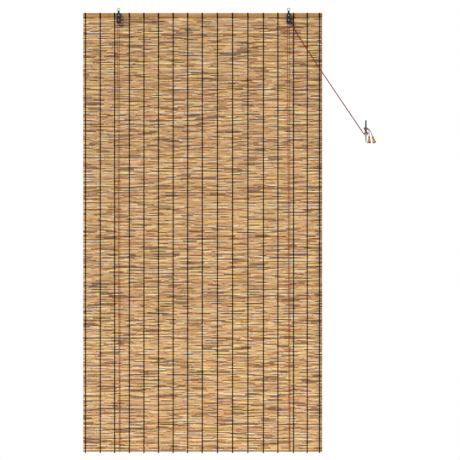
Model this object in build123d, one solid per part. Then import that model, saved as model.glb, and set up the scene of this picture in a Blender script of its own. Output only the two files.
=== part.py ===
from build123d import *
import os
from math import pi, tan, radians

# A reed roll-up blind that hangs from two eyes. Lengths are in millimetres.
# X runs to the right along the blind, Y towards the wall and Z up.
# The origin is midway between the bores of the two hanging eyes.

# Blind as sold
blind_width = 1200.0
blind_height = 2200.0
mat_shift = -5.0
batten_drop = 17.5

# Head batten: a bamboo slat
batten_height = 22.0
batten_depth = 10.0
batten_edge_radius = 2.0

# Reed mat: one wall with a ridge for each reed, and gaps between some of the reeds
reed_count = 360
reed_thickness = 5.6
valley_depth = 1.0
crest_share = 0.46
reed_height_shares = (1.0, 0.93, 1.08, 0.97, 1.04, 0.9, 1.06, 1.02)
reed_face_shares = (1.0, 0.72, 1.0, 0.86, 0.66, 1.0, 0.8, 1.0, 0.7, 0.92, 1.0)
gap_height = 0.8
gap_length_share = 0.5
gap_row_shares = (0.14, 0.38, 0.61, 0.85)
gap_step_share = 0.031
gap_step_count = 5
gap_step_stride = 2

# Bottom rod
rod_diameter = 8.5
rod_end_chamfer = 0.6

# Warp threads: twisted yarn round the batten, the mat and the rod
thread_width = 4.5
thread_thickness = 1.4
thread_left_margin = 12.0
thread_right_margin = 14.0
thread_gap_shares = (
    1.012, 0.985, 1.005, 0.998, 0.991, 1.005, 0.991, 0.998,
    1.039, 1.032, 1.046, 1.06, 0.991, 1.067, 0.937, 0.841,
)
wrap_width = 7.0
wrap_thickness = 1.8
knot_diameter = 7.0
knot_length = 8.0
knot_chamfer = 1.4

# Pulley brackets: folded steel straps with two cheeks and a neck
eye_spacing = 852.0
plate_width = 21.0
plate_height = 52.5
plate_thickness = 1.5
plate_corner_radius = 4.0
shoulder_radius = 5.0
neck_width = 10.0
neck_height = 9.7
cheek_gap = 9.0
fold_radius = 1.5
axle_rise = 17.0
ear_reach = 9.0
ear_height = 20.0
ear_corner_radius = 4.0
pin_reach = 5.0
pin_rise = 12.5

# Hanging eyes
eye_outer_radius = 8.0
eye_bore_radius = 5.0
eye_thickness = 3.0
eye_chamfer = 0.5
eye_shank_radius = 2.5
eye_head_radius = 3.6
eye_head_height = 1.8
eye_gap = 0.3

# Sheaves, axles, screws and pins
sheave_radius = 7.5
groove_radius = 3.8
groove_width = 6.4
lip_bevel_share = 0.33
sheave_side_gap = 0.2
axle_radius = 2.0
pin_radius = 1.5
pin_head_radius = 2.4
rivet_head_radius = 3.25
rivet_head_height = 1.2
rivet_head_chamfer = 0.4
screw_radius = 2.0
screw_depth = 8.0
screw_tip_length = 3.0
screw_head_radius = 3.25
screw_head_height = 1.6
screw_head_chamfer = 0.5
screw_height_share = 0.55
screw_slot_width = 0.9
screw_slot_length = 4.2
screw_slot_depth = 0.9
bush_radius = 4.5

# Staples that hold the rear legs of the lift cords on the batten
staple_span = 8.0
staple_wire = 1.2
staple_depth = 6.0
staple_room = 1.2
staple_height_share = 0.5

# Cords
cord_diameter = 3.0
cord_knot_radius = 2.8
sheave_wrap_radius = 5.4
rod_wrap_radius = 5.7
arc_run_share = 0.45

# Cleat on the wall, with the hitch of the two cords round it
wall_place = 22.0
cleat_x = 813.0
cleat_drop = 610.5
cleat_height = 111.5
cleat_width = 10.0
cleat_depth = 20.0
cleat_tip_width = 7.5
cleat_tip_thickness = 3.4
cleat_bow = 6.5
horn_sweep_share = 0.17
cleat_tip_round_share = 0.33
cleat_edge_chamfer = 0.9
horn_root_thickness = 6.0
stem_height = 27.0
foot_height = 40.0
foot_thickness = 3.0
foot_radius = 4.0
cleat_hole_radius = 1.8
cleat_hole_spacing = 15.0
countersink_radius = 3.6
hitch_width = 22.0
hitch_height = 38.0
hitch_collar_depth = 5.0
hitch_bar = 5.4
hitch_gap = 0.3

# Tassels: turned wood with a cord hole and a hollow for the knot
tassel_length = 35.0
tassel_knob_radius = 5.4
tassel_neck_radius = 4.3
tassel_foot_radius = 9.5
tassel_hole_radius = 1.7
tassel_hollow_radius = 5.6
tassel_hollow_depth = 9.0
tassel_top_radius_share = 0.6
tassel_knob_height_share = 0.1
tassel_neck_height_share = 0.26
tassel_flare_height_share = 0.56
tassel_flare_radius_share = 0.74
tassel_foot_height_share = 0.86
tassel_rim_radius_share = 0.8
tassel_turn_degrees = 16.7

# Fits
seat_gap = 0.1
run_gap = 0.05
cut_overrun = 1.0

# Places that follow from the sizes
batten_top = -batten_drop
batten_bottom = batten_top - batten_height
blind_bottom = batten_top - blind_height
bracket_depth = cheek_gap + 2 * plate_thickness
batten_front = bracket_depth / 2
batten_back = batten_front + batten_depth
mat_middle = batten_front + batten_depth / 2
mat_front = mat_middle - reed_thickness / 2
mat_back = mat_middle + reed_thickness / 2
mat_left = mat_shift - blind_width / 2
rod_radius = rod_diameter / 2
rod_middle = blind_bottom + rod_radius
mat_top = batten_bottom - seat_gap
mat_bottom = rod_middle + rod_radius + seat_gap
web_top = -(eye_outer_radius + eye_gap)
plate_top = web_top - neck_height
plate_bottom = plate_top - plate_height
axle_z = plate_bottom + axle_rise
pin_x = plate_width / 2 + pin_reach
pin_z = plate_bottom + pin_rise
screw_z = batten_top - screw_height_share * batten_height
staple_z = batten_top - staple_height_share * batten_height
left_x = -eye_spacing / 2
right_x = eye_spacing / 2
cleat_front = wall_place - cleat_depth
horn_back = cleat_front + horn_root_thickness

# Routes of the two lift cords, from the knot behind the batten, down the back of the mat, round the rod,
# up the front, over the sheaves and down to the cleat. Each corner round a sheave or the rod is marked.
left_staple_x = -417.0
right_staple_x = 434.0
left_route = [
    (-417.0, 19.1, -24.7),
    (-417.0, 17.7, -30.5),
    (-421.5, 16.9, -2216.66),
    (-421.5, 11.0, -2220.06),
    (-421.5, 5.1, -2216.66),
    (-431.5, 0.0, -50.37),
    (-426.1, 0.0, -47.17),
    (-402.5, 2.6, -60.0),
    (-380.0, 4.4, -61.2),
    (-216.0, 3.6, -60.6),
    (-158.0, 18.2, -60.6),
    (229.0, 18.2, -91.5),
    (287.0, 3.6, -91.5),
    (396.0, 4.4, -95.6),
    (413.0, 3.6, -91.0),
    (420.3, 2.4, -77.0),
    (420.5, 1.55, -50.83),
    (424.7, 1.55, -47.52),
    (429.9, 1.55, -48.79),
    (449.5, 1.8, -92.0),
    (470.0, 2.1, -128.5),
    (620.9, 4.2, -356.7),
    (798.0, 11.6, -617.5),
    (804.6, 12.1, -622.6),
]
right_route = [
    (434.0, 19.1, -24.7),
    (434.0, 17.7, -30.5),
    (429.7, 16.9, -2216.66),
    (429.7, 11.0, -2220.06),
    (429.7, 5.1, -2216.66),
    (420.5, -1.55, -50.83),
    (424.7, -1.55, -47.52),
    (429.9, -1.55, -48.79),
    (450.3, -1.3, -91.5),
    (470.8, -1.0, -128.0),
    (621.7, 1.1, -356.2),
    (798.8, 8.5, -617.0),
    (804.6, 9.0, -621.2),
]
left_sheave_corners = (5, 6, 16, 17, 18)
right_sheave_corners = (5, 6, 7)
rod_corners = (2, 3, 4)
left_tail_route = [
    (821.0, 4.9, -598.0),
    (829.2, 5.6, -608.0),
    (829.6, 8.5, -623.0),
    (829.6, 8.5, -665.2),
]
right_tail_route = [
    (821.0, 1.7, -597.0),
    (831.0, 2.6, -603.4),
    (839.5, 5.4, -615.8),
    (844.7, 8.5, -628.54),
    (855.68, 8.5, -665.13),
]
left_tassel_top = (829.6, 8.5, -635.0)
right_tassel_top = (847.0, 8.5, -636.2)

# The gaps that the crossing part of the left cord goes through, on the runs of its route from these points
pass_gap_height = 4.2
pass_gap_length = 48.0
pass_gap_runs = (9, 11)


def thread_places():
    """The middles of the warp threads along X."""
    span = blind_width - thread_left_margin - thread_right_margin
    total = sum(thread_gap_shares)
    places = [mat_left + thread_left_margin]
    for share in thread_gap_shares:
        places.append(places[-1] + share * span / total)
    return places


def valley_heights():
    """The heights of the valleys between reeds, from the mat's top to its bottom."""
    shares = [reed_height_shares[i % len(reed_height_shares)] for i in range(reed_count)]
    unit = (mat_top - mat_bottom) / sum(shares)
    heights = [mat_top]
    for share in shares:
        heights.append(heights[-1] - share * unit)
    return heights


def head_batten():
    slat = Box(blind_width, batten_depth, batten_height)
    slat = fillet(slat.edges().filter_by(Axis.X), batten_edge_radius)
    slat = Pos(mat_shift, mat_middle, (batten_top + batten_bottom) / 2) * slat
    bore = Rot(90, 0, 0) * Cylinder(screw_radius + seat_gap, 2 * (screw_depth + seat_gap))
    leg = Box(staple_wire + 2 * seat_gap, 2 * (staple_depth + seat_gap), staple_wire + 2 * seat_gap)
    for x in (left_x, right_x):
        slat -= Pos(x, batten_front, screw_z) * bore
    for x in (left_staple_x, right_staple_x):
        for side in (-1, 1):
            slat -= Pos(x + side * staple_span / 2, batten_back, staple_z) * leg
    return slat


def reed_outline():
    """The mat's section: a flat-crested ridge on both faces for each reed."""
    heights = valley_heights()
    front, back = [], []
    shoulder_share = (1 - crest_share) / 2
    for i in range(reed_count):
        top, bottom = heights[i], heights[i + 1]
        rise = valley_depth * (1 - reed_face_shares[i % len(reed_face_shares)])
        shoulder = shoulder_share * (top - bottom)
        front += [(mat_front + valley_depth, top)]
        front += [(mat_front + rise, top - shoulder), (mat_front + rise, bottom + shoulder)]
        back += [(mat_back - valley_depth, top)]
        back += [(mat_back - rise, top - shoulder), (mat_back - rise, bottom + shoulder)]
    front += [(mat_front + valley_depth, heights[-1])]
    back += [(mat_back - valley_depth, heights[-1])]
    return front + back[::-1]


def reed_gaps():
    """Slits in some of the valleys of each bay between two threads."""
    heights = valley_heights()
    places = thread_places()
    slits = []
    for bay, (start, end) in enumerate(zip(places, places[1:])):
        slit = Box(gap_length_share * (end - start), reed_thickness + cut_overrun, gap_height)
        for row_share in gap_row_shares:
            share = row_share + gap_step_share * (gap_step_stride * bay % gap_step_count)
            height = heights[round(share * reed_count)]
            slits.append(Pos((start + end) / 2, mat_middle, height) * slit)
    passing = Box(pass_gap_length, reed_thickness + cut_overrun, pass_gap_height)
    for run in pass_gap_runs:
        middle = (Vector(*left_route[run]) + Vector(*left_route[run + 1])) / 2
        slits.append(Pos(middle.X, mat_middle, middle.Z) * passing)
    return slits


def reed_mat():
    section = make_face(Polyline(*reed_outline(), close=True))
    wall = extrude(Plane.YZ.offset(mat_left) * section, blind_width)
    return wall - reed_gaps()


def bottom_rod():
    rod = Cylinder(rod_radius, blind_width)
    rod = chamfer(rod.edges().filter_by(GeomType.CIRCLE), rod_end_chamfer)
    return Pos(mat_shift, mat_middle, rod_middle) * Rot(0, 90, 0) * rod


def loop_section(growth):
    """The outline of batten, mat and rod seen from the side, grown by that much."""
    deep = 2 * growth
    batten = Rectangle(batten_depth + deep, batten_height + deep)
    mat = Rectangle(reed_thickness + deep, mat_top - rod_middle)
    section = Pos(mat_middle, (batten_top + batten_bottom) / 2) * batten
    section += Pos(mat_middle, (mat_top + rod_middle) / 2) * mat
    return section + Pos(mat_middle, rod_middle) * Circle(rod_radius + growth)


def warp_thread(x):
    ring = loop_section(seat_gap + thread_thickness) - loop_section(seat_gap)
    yarn = extrude(Plane.YZ.offset(x) * ring, thread_width / 2, both=True)
    outer = 2 * (seat_gap + wrap_thickness)
    inner = 2 * seat_gap
    middle = (batten_top + batten_bottom) / 2
    wrap = Rectangle(batten_depth + outer, batten_height + outer)
    wrap -= Rectangle(batten_depth + inner, batten_height + inner)
    wrap -= Pos(0, -batten_height / 2) * Rectangle(reed_thickness + inner, batten_height)
    yarn += extrude(Plane.YZ.offset(x) * Pos(mat_middle, middle) * wrap, wrap_width / 2, both=True)
    knot = Cylinder(knot_diameter / 2, knot_length)
    knot = Rot(0, 90, 0) * chamfer(knot.edges().filter_by(GeomType.CIRCLE), knot_chamfer)
    return yarn + Pos(x, mat_middle, blind_bottom - seat_gap - knot_diameter / 2) * knot


def strap_outline(with_ear):
    """The bracket's outline seen from the front, about its own middle."""
    plate = Pos(0, (plate_top + plate_bottom) / 2) * Rectangle(plate_width, plate_height)
    plate = fillet(plate.vertices().group_by(Axis.Y)[0], plate_corner_radius)
    plate = fillet(plate.vertices().group_by(Axis.Y)[-1], shoulder_radius)
    neck_bottom = plate_top - shoulder_radius
    neck = Pos(0, (web_top + neck_bottom) / 2) * Rectangle(neck_width, web_top - neck_bottom)
    outline = plate + neck
    if with_ear:
        reach = plate_width / 2 + ear_reach
        ear = Pos(reach / 2, plate_bottom + ear_height / 2) * Rectangle(reach, ear_height)
        ear = fillet(ear.vertices().group_by(Axis.X)[-1], ear_corner_radius)
        outline += ear
    return outline


def pulley_bracket(x, with_ear):
    """A strap folded over at the neck, with holes for the axle, the screw, the eye and the guide pin."""
    height = web_top - plate_bottom
    fold = Rectangle(bracket_depth, height)
    fold = fillet(fold.vertices().group_by(Axis.Y)[-1], fold_radius + plate_thickness)
    inside = Rectangle(cheek_gap, height)
    inside = fillet(inside.vertices().group_by(Axis.Y)[-1], fold_radius)
    fold -= Pos(0, -plate_thickness) * inside
    half_width = plate_width / 2 + ear_reach
    strap = extrude(Plane.YZ * Pos(0, (web_top + plate_bottom) / 2) * fold, half_width, both=True)
    strap &= extrude(Plane.XZ * strap_outline(with_ear), bracket_depth, both=True)
    across = 2 * bracket_depth
    strap -= Pos(0, 0, axle_z) * Rot(90, 0, 0) * Cylinder(axle_radius + run_gap, across)
    strap -= Pos(0, 0, screw_z) * Rot(90, 0, 0) * Cylinder(screw_radius + seat_gap, across)
    strap -= Pos(0, 0, web_top) * Cylinder(eye_shank_radius + run_gap, 2 * (plate_thickness + cut_overrun))
    if with_ear:
        strap -= Pos(pin_x, 0, pin_z) * Rot(90, 0, 0) * Cylinder(pin_radius + run_gap, across)
    return Pos(x, 0, 0) * strap


def sheave(x):
    half = cheek_gap / 2 - sheave_side_gap
    groove = groove_width / 2
    bore = axle_radius + run_gap
    bevel = lip_bevel_share * (half - groove)
    outline = [
        (bore, -half),
        (sheave_radius - bevel, -half),
        (sheave_radius, -half + bevel),
        (sheave_radius, -groove - bevel),
        (groove_radius + bevel, -groove),
        (groove_radius, -groove + bevel),
    ]
    outline += [(radius, -place) for radius, place in outline[::-1]]
    wheel = revolve(Plane.XZ * make_face(Polyline(*outline, close=True)), Axis.Z)
    return Pos(x, 0, axle_z) * Rot(90, 0, 0) * wheel


def rivet(x, z, shank_radius, head_radius):
    """A pin across both cheeks with a head on each side."""
    shank = Cylinder(shank_radius, bracket_depth)
    head = Cylinder(head_radius, rivet_head_height)
    outer_edge = head.edges().filter_by(GeomType.CIRCLE).sort_by(Axis.Z)[-1]
    head = Pos(0, 0, (bracket_depth + rivet_head_height) / 2) * chamfer(outer_edge, rivet_head_chamfer)
    return Pos(x, 0, z) * Rot(90, 0, 0) * (shank + head + Rot(180, 0, 0) * head)


def bracket_screw(x):
    """A wood screw with its cross-slotted head on the front cheek and its tip in the batten."""
    head_base = -bracket_depth / 2
    head_top = head_base - screw_head_height
    tip = batten_front + screw_depth
    outline = [
        (0, head_top),
        (screw_head_radius - screw_head_chamfer, head_top),
        (screw_head_radius, head_top + screw_head_chamfer),
        (screw_head_radius, head_base),
        (screw_radius, head_base),
        (screw_radius, tip - screw_tip_length),
        (0, tip),
    ]
    body = revolve(make_face(Polyline(*outline, close=True)), Axis.Y)
    slot = Box(screw_slot_length, 2 * screw_slot_depth, screw_slot_width)
    for turn in (0, 90):
        body -= Pos(0, head_top, 0) * Rot(0, turn, 0) * slot
    return Pos(x, 0, screw_z) * body


def spacer_bush(x):
    tube = Cylinder(bush_radius, cheek_gap) - Cylinder(screw_radius + seat_gap, cheek_gap)
    return Pos(x, 0, screw_z) * Rot(90, 0, 0) * tube


def hanging_eye(x):
    """A flat eye on a shank that turns in the bracket's neck and is headed under it."""
    ring = Cylinder(eye_outer_radius, eye_thickness) - Cylinder(eye_bore_radius, eye_thickness)
    ring = Rot(90, 0, 0) * chamfer(ring.edges().filter_by(GeomType.CIRCLE), eye_chamfer)
    head_top = web_top - plate_thickness - seat_gap
    shank_top = -(eye_bore_radius + eye_outer_radius) / 2
    shank = Pos(0, 0, (shank_top + head_top) / 2) * Cylinder(eye_shank_radius, shank_top - head_top)
    head = Pos(0, 0, head_top - eye_head_height / 2) * Cylinder(eye_head_radius, eye_head_height)
    return Pos(x, 0, 0) * (ring + shank + head)


def cord_staple(x):
    """A flat-wire staple across the cord, with both legs in the batten."""
    inner = cord_diameter + staple_room
    length = staple_depth + inner + staple_wire
    bar = Box(staple_span + staple_wire, length, staple_wire)
    bar -= Pos(0, -staple_wire, 0) * Box(staple_span - staple_wire, length, staple_wire)
    return Pos(x, batten_back - staple_depth + length / 2, staple_z) * bar


def cord_tube(name, points, tight):
    """A tube along straight runs with an arc at each corner, and the radii of those arcs."""
    corners = [Vector(*p) for p in points]
    radii = []
    for i in range(1, len(corners) - 1):
        before, after = corners[i] - corners[i - 1], corners[i + 1] - corners[i]
        turn = radians(before.get_angle(after))
        shorter = min(before.length, after.length)
        radii.append(tight.get(i) or arc_run_share * shorter / tan(turn / 2))
    path = FilletPolyline(*corners, radius=radii)
    section = Plane(origin=path @ 0, z_dir=path % 0) * Circle(cord_diameter / 2)
    tube = sweep(section, path)
    full = pi * cord_diameter**2 / 4 * path.length
    print(name, "length", round(path.length, 1), "volume share", round(tube.volume / full, 4))
    print("  arc radii", [round(radius, 1) for radius in radii])
    return tube


def cleat():
    """A cast cleat: a stem with a foot on the wall and two horns that bow away from it."""
    half = cleat_height / 2
    tip = cleat_front - cleat_bow
    tip_back = tip + cleat_tip_thickness
    stem = stem_height / 2
    front = ThreePointArc((tip, -half), (cleat_front, 0), (tip, half))
    sides = []
    for side in (1, -1):
        bend = ((horn_back + tip_back) / 2 + horn_sweep_share * cleat_bow, side * (stem + half) / 2)
        sides.append(Line((tip, side * half), (tip_back, side * half)))
        sides.append(ThreePointArc((tip_back, side * half), bend, (horn_back, side * stem)))
        sides.append(Line((horn_back, side * stem), (wall_place, side * stem)))
    wall = Line((wall_place, stem), (wall_place, -stem))
    body = extrude(Plane.YZ * make_face([front, wall, *sides]), cleat_width / 2, both=True)
    taper = Polyline(
        (-cleat_width / 2, -stem),
        (-cleat_width / 2, stem),
        (-cleat_tip_width / 2, half),
        (cleat_tip_width / 2, half),
        (cleat_width / 2, stem),
        (cleat_width / 2, -stem),
        (cleat_tip_width / 2, -half),
        (-cleat_tip_width / 2, -half),
        close=True,
    )
    outline = make_face(taper)
    tip_round = cleat_tip_round_share * cleat_tip_width
    outline = fillet(outline.vertices().group_by(Axis.Y)[0], tip_round)
    outline = fillet(outline.vertices().group_by(Axis.Y)[-1], tip_round)
    body &= extrude(Plane.XZ * outline, 2 * wall_place, both=True)
    front_edges = body.faces().sort_by(Axis.Y)[0].edges()
    body = chamfer(front_edges, cleat_edge_chamfer)
    foot = RectangleRounded(cleat_width, foot_height, foot_radius)
    body += extrude(Plane.XZ.offset(-wall_place) * foot, foot_thickness)
    for side in (-1, 1):
        spot = side * cleat_hole_spacing / 2
        hole = Cylinder(cleat_hole_radius, 2 * wall_place)
        sink = Cone(countersink_radius, cleat_hole_radius, countersink_radius - cleat_hole_radius)
        sink_middle = cleat_front + (countersink_radius - cleat_hole_radius) / 2
        body -= Pos(0, cleat_front, spot) * Rot(90, 0, 0) * hole
        body -= Pos(0, sink_middle, spot) * Rot(-90, 0, 0) * sink
    return Pos(cleat_x, 0, -cleat_drop) * body


def cleat_hitch():
    """The figure of eight: a collar behind the horns, four corners beside the stem and a cross in front."""
    back = horn_back + hitch_gap
    collar = RectangleRounded(hitch_width, hitch_height, hitch_bar)
    collar -= Rectangle(cleat_width + 2 * hitch_gap, stem_height + 2 * hitch_gap)
    knot = extrude(Plane.XZ.offset(-back - hitch_collar_depth) * collar, hitch_collar_depth)
    front = cleat_front - hitch_gap
    spread = cleat_width / 2 + hitch_gap + hitch_bar / 2
    rise = stem_height / 2
    depth = back + hitch_collar_depth - front + hitch_bar
    for side in (-1, 1):
        for end in (-1, 1):
            post = Box(hitch_bar, depth, hitch_bar)
            knot += Pos(side * spread, front - hitch_bar + depth / 2, end * rise) * post
        run = Polyline((-spread, -side * rise), (spread, side * rise))
        bar = make_face(offset(run, hitch_bar / 2))
        knot += extrude(Plane.XZ.offset(-front) * bar, hitch_bar)
    return Pos(cleat_x, 0, -cleat_drop) * knot


def tassel(top, turn):
    """A turned tassel hanging from its top, with a through hole and a hollow foot."""
    knob_z = -tassel_knob_height_share * tassel_length
    neck_z = -tassel_neck_height_share * tassel_length
    flare_z = -tassel_flare_height_share * tassel_length
    foot_z = -tassel_foot_height_share * tassel_length
    rim = tassel_rim_radius_share * tassel_foot_radius
    crown = tassel_top_radius_share * tassel_knob_radius
    flare = tassel_flare_radius_share * tassel_foot_radius
    hollow_z = tassel_hollow_depth - tassel_length
    skin = [
        Line((tassel_hole_radius, 0), (crown, 0)),
        ThreePointArc((crown, 0), (tassel_knob_radius, knob_z), (tassel_neck_radius, neck_z)),
        ThreePointArc((tassel_neck_radius, neck_z), (flare, flare_z), (tassel_foot_radius, foot_z)),
        Line((tassel_foot_radius, foot_z), (rim, -tassel_length)),
        Line((rim, -tassel_length), (tassel_hollow_radius, -tassel_length)),
        Line((tassel_hollow_radius, -tassel_length), (tassel_hole_radius, hollow_z)),
        Line((tassel_hole_radius, hollow_z), (tassel_hole_radius, 0)),
    ]
    wood = revolve(Plane.XZ * make_face(skin), Axis.Z)
    return Pos(*top) * Rot(0, -turn, 0) * wood


def tail(name, route, hitch):
    """A cord's end, from the hitch down through its tassel to a knot."""
    tube = cord_tube(name, route, {}) - hitch
    return tube + Pos(*route[-1]) * Sphere(cord_knot_radius)


def lift_cord(name, route, sheave_corners, hitch):
    """A lift cord from the knot above its staple to the hitch on the cleat."""
    tight = dict.fromkeys(sheave_corners, sheave_wrap_radius)
    tight.update(dict.fromkeys(rod_corners, rod_wrap_radius))
    tube = cord_tube(name, route, tight) - hitch
    return tube + Pos(*route[0]) * Sphere(cord_knot_radius)


os.makedirs("parts", exist_ok=True)
hitch = cleat_hitch()
pieces = {
    "head_batten": head_batten(),
    "reed_mat": reed_mat(),
    "bottom_rod": bottom_rod(),
    "cord_guide_pin": rivet(right_x + pin_x, pin_z, pin_radius, pin_head_radius),
    "left_lift_cord": lift_cord("left lift cord", left_route, left_sheave_corners, hitch),
    "right_lift_cord": lift_cord("right lift cord", right_route, right_sheave_corners, hitch),
    "left_cord_tail": tail("left cord tail", left_tail_route, hitch),
    "right_cord_tail": tail("right cord tail", right_tail_route, hitch),
    "left_cord_staple": cord_staple(left_staple_x),
    "right_cord_staple": cord_staple(right_staple_x),
    "cleat": cleat(),
    "cleat_hitch": hitch,
    "left_tassel": tassel(left_tassel_top, 0),
    "right_tassel": tassel(right_tassel_top, tassel_turn_degrees),
}
for number, place in enumerate(thread_places(), 1):
    pieces[f"warp_thread_{number:02d}"] = warp_thread(place)
for side, x, with_ear in (("left", left_x, False), ("right", right_x, True)):
    pieces[f"{side}_pulley_bracket"] = pulley_bracket(x, with_ear)
    pieces[f"{side}_sheave"] = sheave(x)
    pieces[f"{side}_axle_rivet"] = rivet(x, axle_z, axle_radius, rivet_head_radius)
    pieces[f"{side}_bracket_screw"] = bracket_screw(x)
    pieces[f"{side}_spacer_bush"] = spacer_bush(x)
    pieces[f"{side}_hanging_eye"] = hanging_eye(x)
for name, piece in pieces.items():
    export_step(piece, f"parts/{name}.step")
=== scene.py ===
import math

import bpy
import numpy as np
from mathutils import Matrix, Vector


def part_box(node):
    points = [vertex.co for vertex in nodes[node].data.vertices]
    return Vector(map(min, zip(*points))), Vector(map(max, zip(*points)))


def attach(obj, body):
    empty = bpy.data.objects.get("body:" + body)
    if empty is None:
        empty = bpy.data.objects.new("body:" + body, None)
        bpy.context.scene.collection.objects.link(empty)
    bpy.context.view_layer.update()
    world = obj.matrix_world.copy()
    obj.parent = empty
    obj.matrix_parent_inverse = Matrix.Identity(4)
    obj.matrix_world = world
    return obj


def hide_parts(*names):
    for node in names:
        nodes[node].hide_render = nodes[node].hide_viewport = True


# The looks of a reed roll-up blind. Lengths are in metres, in the frame of the CAD model.
# X runs to the right along the blind, Y towards the wall and Z up.
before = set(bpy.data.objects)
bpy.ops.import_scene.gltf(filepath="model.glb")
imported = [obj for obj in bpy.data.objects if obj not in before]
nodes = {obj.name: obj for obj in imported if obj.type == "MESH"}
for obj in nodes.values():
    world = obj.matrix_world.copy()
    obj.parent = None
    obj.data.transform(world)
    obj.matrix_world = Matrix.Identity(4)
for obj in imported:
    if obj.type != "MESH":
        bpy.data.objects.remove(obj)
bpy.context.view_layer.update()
RANDOM_SEED = 4058
rng = np.random.default_rng(RANDOM_SEED)

BODY = "blind"
THREAD_COUNT = 17

# Places taken from the frame
MAT_LOW, MAT_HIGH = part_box("reed_mat")
BATTEN_LOW, BATTEN_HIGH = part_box("head_batten")
ROD_LOW, ROD_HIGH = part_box("bottom_rod")
MAT_MIDDLE = (MAT_LOW.y + MAT_HIGH.y) / 2
BATTEN_CENTRE = (BATTEN_LOW + BATTEN_HIGH) / 2
BATTEN_HALF_DEPTH = (BATTEN_HIGH.y - BATTEN_LOW.y) / 2
BATTEN_HALF_HEIGHT = (BATTEN_HIGH.z - BATTEN_LOW.z) / 2
ROD_MIDDLE = (ROD_LOW.z + ROD_HIGH.z) / 2
ROD_RADIUS = (ROD_HIGH.z - ROD_LOW.z) / 2

# Reeds
REED_COUNT = 360
REED_SIDES = 8
REED_HEIGHT_SHARES = (0.85, 1.15)
REED_OVERLAP_SHARE = 1.14
REED_DEPTH = 0.0052
REED_STAGGER = 0.0005
REED_END_SCATTER = 0.0014

# Nodes of the reeds, and the places between two nodes where a reed may bend
INTERNODE = 0.2
INTERNODE_SCATTER = 0.035
FIRST_NODE_SHARES = (0.15, 0.85)
NODE_SCATTER = 0.008
NODE_END_MARGIN = 0.02
NODE_SWELL_SHARE = 0.14
NODE_HALF_LENGTH = 0.003
BEND_SHARES = (1 / 3, 2 / 3)

# Slow drift along a reed: three waves added up, how far they move it and how long the first one is
WANDER_DIVISORS = (1.0, 1.9, 3.1)
WANDER_LEVEL = 1.6
REED_WANDER = 0.0003
REED_WAVE = 0.55
STAGGER_WAVE = 0.4
SWELL_WANDER_SHARE = 0.05
SWELL_WAVE = 0.3

# Where the left cord goes through the mat: legs of its route, and the room that the reeds make for it
PASS_LEGS = (13, 15)
PASS_HALF_LENGTH = 0.022
PASS_HALF_HEIGHT = 0.0017
PASS_REACH_SHARE = 1.2
PASS_SHARPNESS = 4

# Colour of the reeds: how often it changes, how much each cause counts and how far it throws two reeds apart
STRETCHES_PER_METRE = 20.0
STRETCH_THROW = 971.0
STRETCH_WEIGHT = 0.5
REPEATS_PER_INTERNODE = 3.0
REPEAT_THROW = 613.0
REPEAT_WEIGHT = 0.32
PATCH_SOFTNESS = 0.25
TONE_WEIGHT = 0.26
REED_SET_OFF = 0.33
HIGH_TINT_SPAN = (0.48, 0.64)
LOW_TINT_SPAN = (0.52, 0.36)
STREAKS_PER_METRE = 13.0
STREAK_THROW = 1777.0
STREAK_SOFTNESS = 0.12
STREAK_SPAN = (0.1, 0.07)
STREAK_STRENGTH = 0.7
FIBRE_STRENGTH = 0.15
REED_NODE_STRENGTH = 0.7

# Warp threads: stitches down the mat
YARN_SIDES = 6
STITCH_HALF_WIDTH = 0.0024
STITCH_HALF_DEPTH = 0.0008
STITCH_WIDTH_SHARES = (0.9, 1.1)
STITCH_LIFT_SHARE = 0.4
STITCH_LEAN = 0.0007
STITCH_REACH_SHARE = 0.36
CROSS_SHIFT = 0.0009
PINCH_SHARE = 0.8

# Warp threads: turns round the batten and the rod
WRAP_TURNS = 4
WRAP_STEPS = 24
WRAP_WIDTH = 0.0088
WRAP_RADIUS = 0.00112
WRAP_SQUARENESS = 0.28
ROD_LOOP_STEPS = 26
ROD_LOOP_OPENING = math.pi / 4

# Warp threads: the knot below the rod and its two cut ends
KNOT_TURNS = 3
KNOT_STEPS = 16
KNOT_LENGTH = 0.006
KNOT_COIL_RADIUS = 0.0023
KNOT_END_SHARE = 0.7
KNOT_YARN_RADIUS = 0.0011
KNOT_SEAT_SHARE = 0.6
TAIL_FALL = 0.005
TAIL_FALL_SHARES = (0.7, 1.0)
TAIL_LEANS = (0.0006, 0.0016)
TAIL_SPREAD = 0.0012
TAIL_CURL_SHARE = 2.2
TAIL_YARN_SHARE = 0.8
TAIL_TIP_SHARE = 0.8

# Batten and rod
BATTEN_CROWN = 0.0006
BATTEN_CROWN_SHARE = 0.35
BATTEN_EDGE = 0.002
BATTEN_EDGE_POINTS = 5
BATTEN_INTERNODE = 0.31
ROD_INTERNODE = 0.24
ROD_SIDES = 14
CANE_STATIONS = 41
CANE_FIRST_NODE_SHARES = (0.3, 0.7)
CANE_NODE_SCATTER = 0.02
CANE_END_MARGIN = 0.03
CANE_NODE_SWELL = 0.0005
CANE_NODE_HALF_LENGTH = 0.006
CANE_NODE_SHARES = (-1, -1 / 3, 0, 1)

# Cords: the tube, the stretch that is darker from handling and from painted shade in the hitch, and the knots
# at both ends
CORD_DIAMETER = 0.003
CORD_SIDES = 10
SPLINE_STEPS = 14
SHADED_HANDLED_LENGTH = 0.66
SHADED_HANDLED_FADE = 0.33
CORD_KNOT_RADIUS = 0.0028
CORD_KNOT_TURNS = 2.5
CORD_KNOT_STEPS = 44
CORD_KNOT_LENGTH_SHARE = 1.2
CORD_KNOT_END_SHARE = 0.35
CORD_KNOT_BULGE_SHARE = 0.45

# Tassels: where their painted shade begins and where it is full, above the foot and below the top
RIM_PAINTED_SHADE = (0.008, 0.002)
KNOB_PAINTED_SHADE = (0.012, 0.004)

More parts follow.
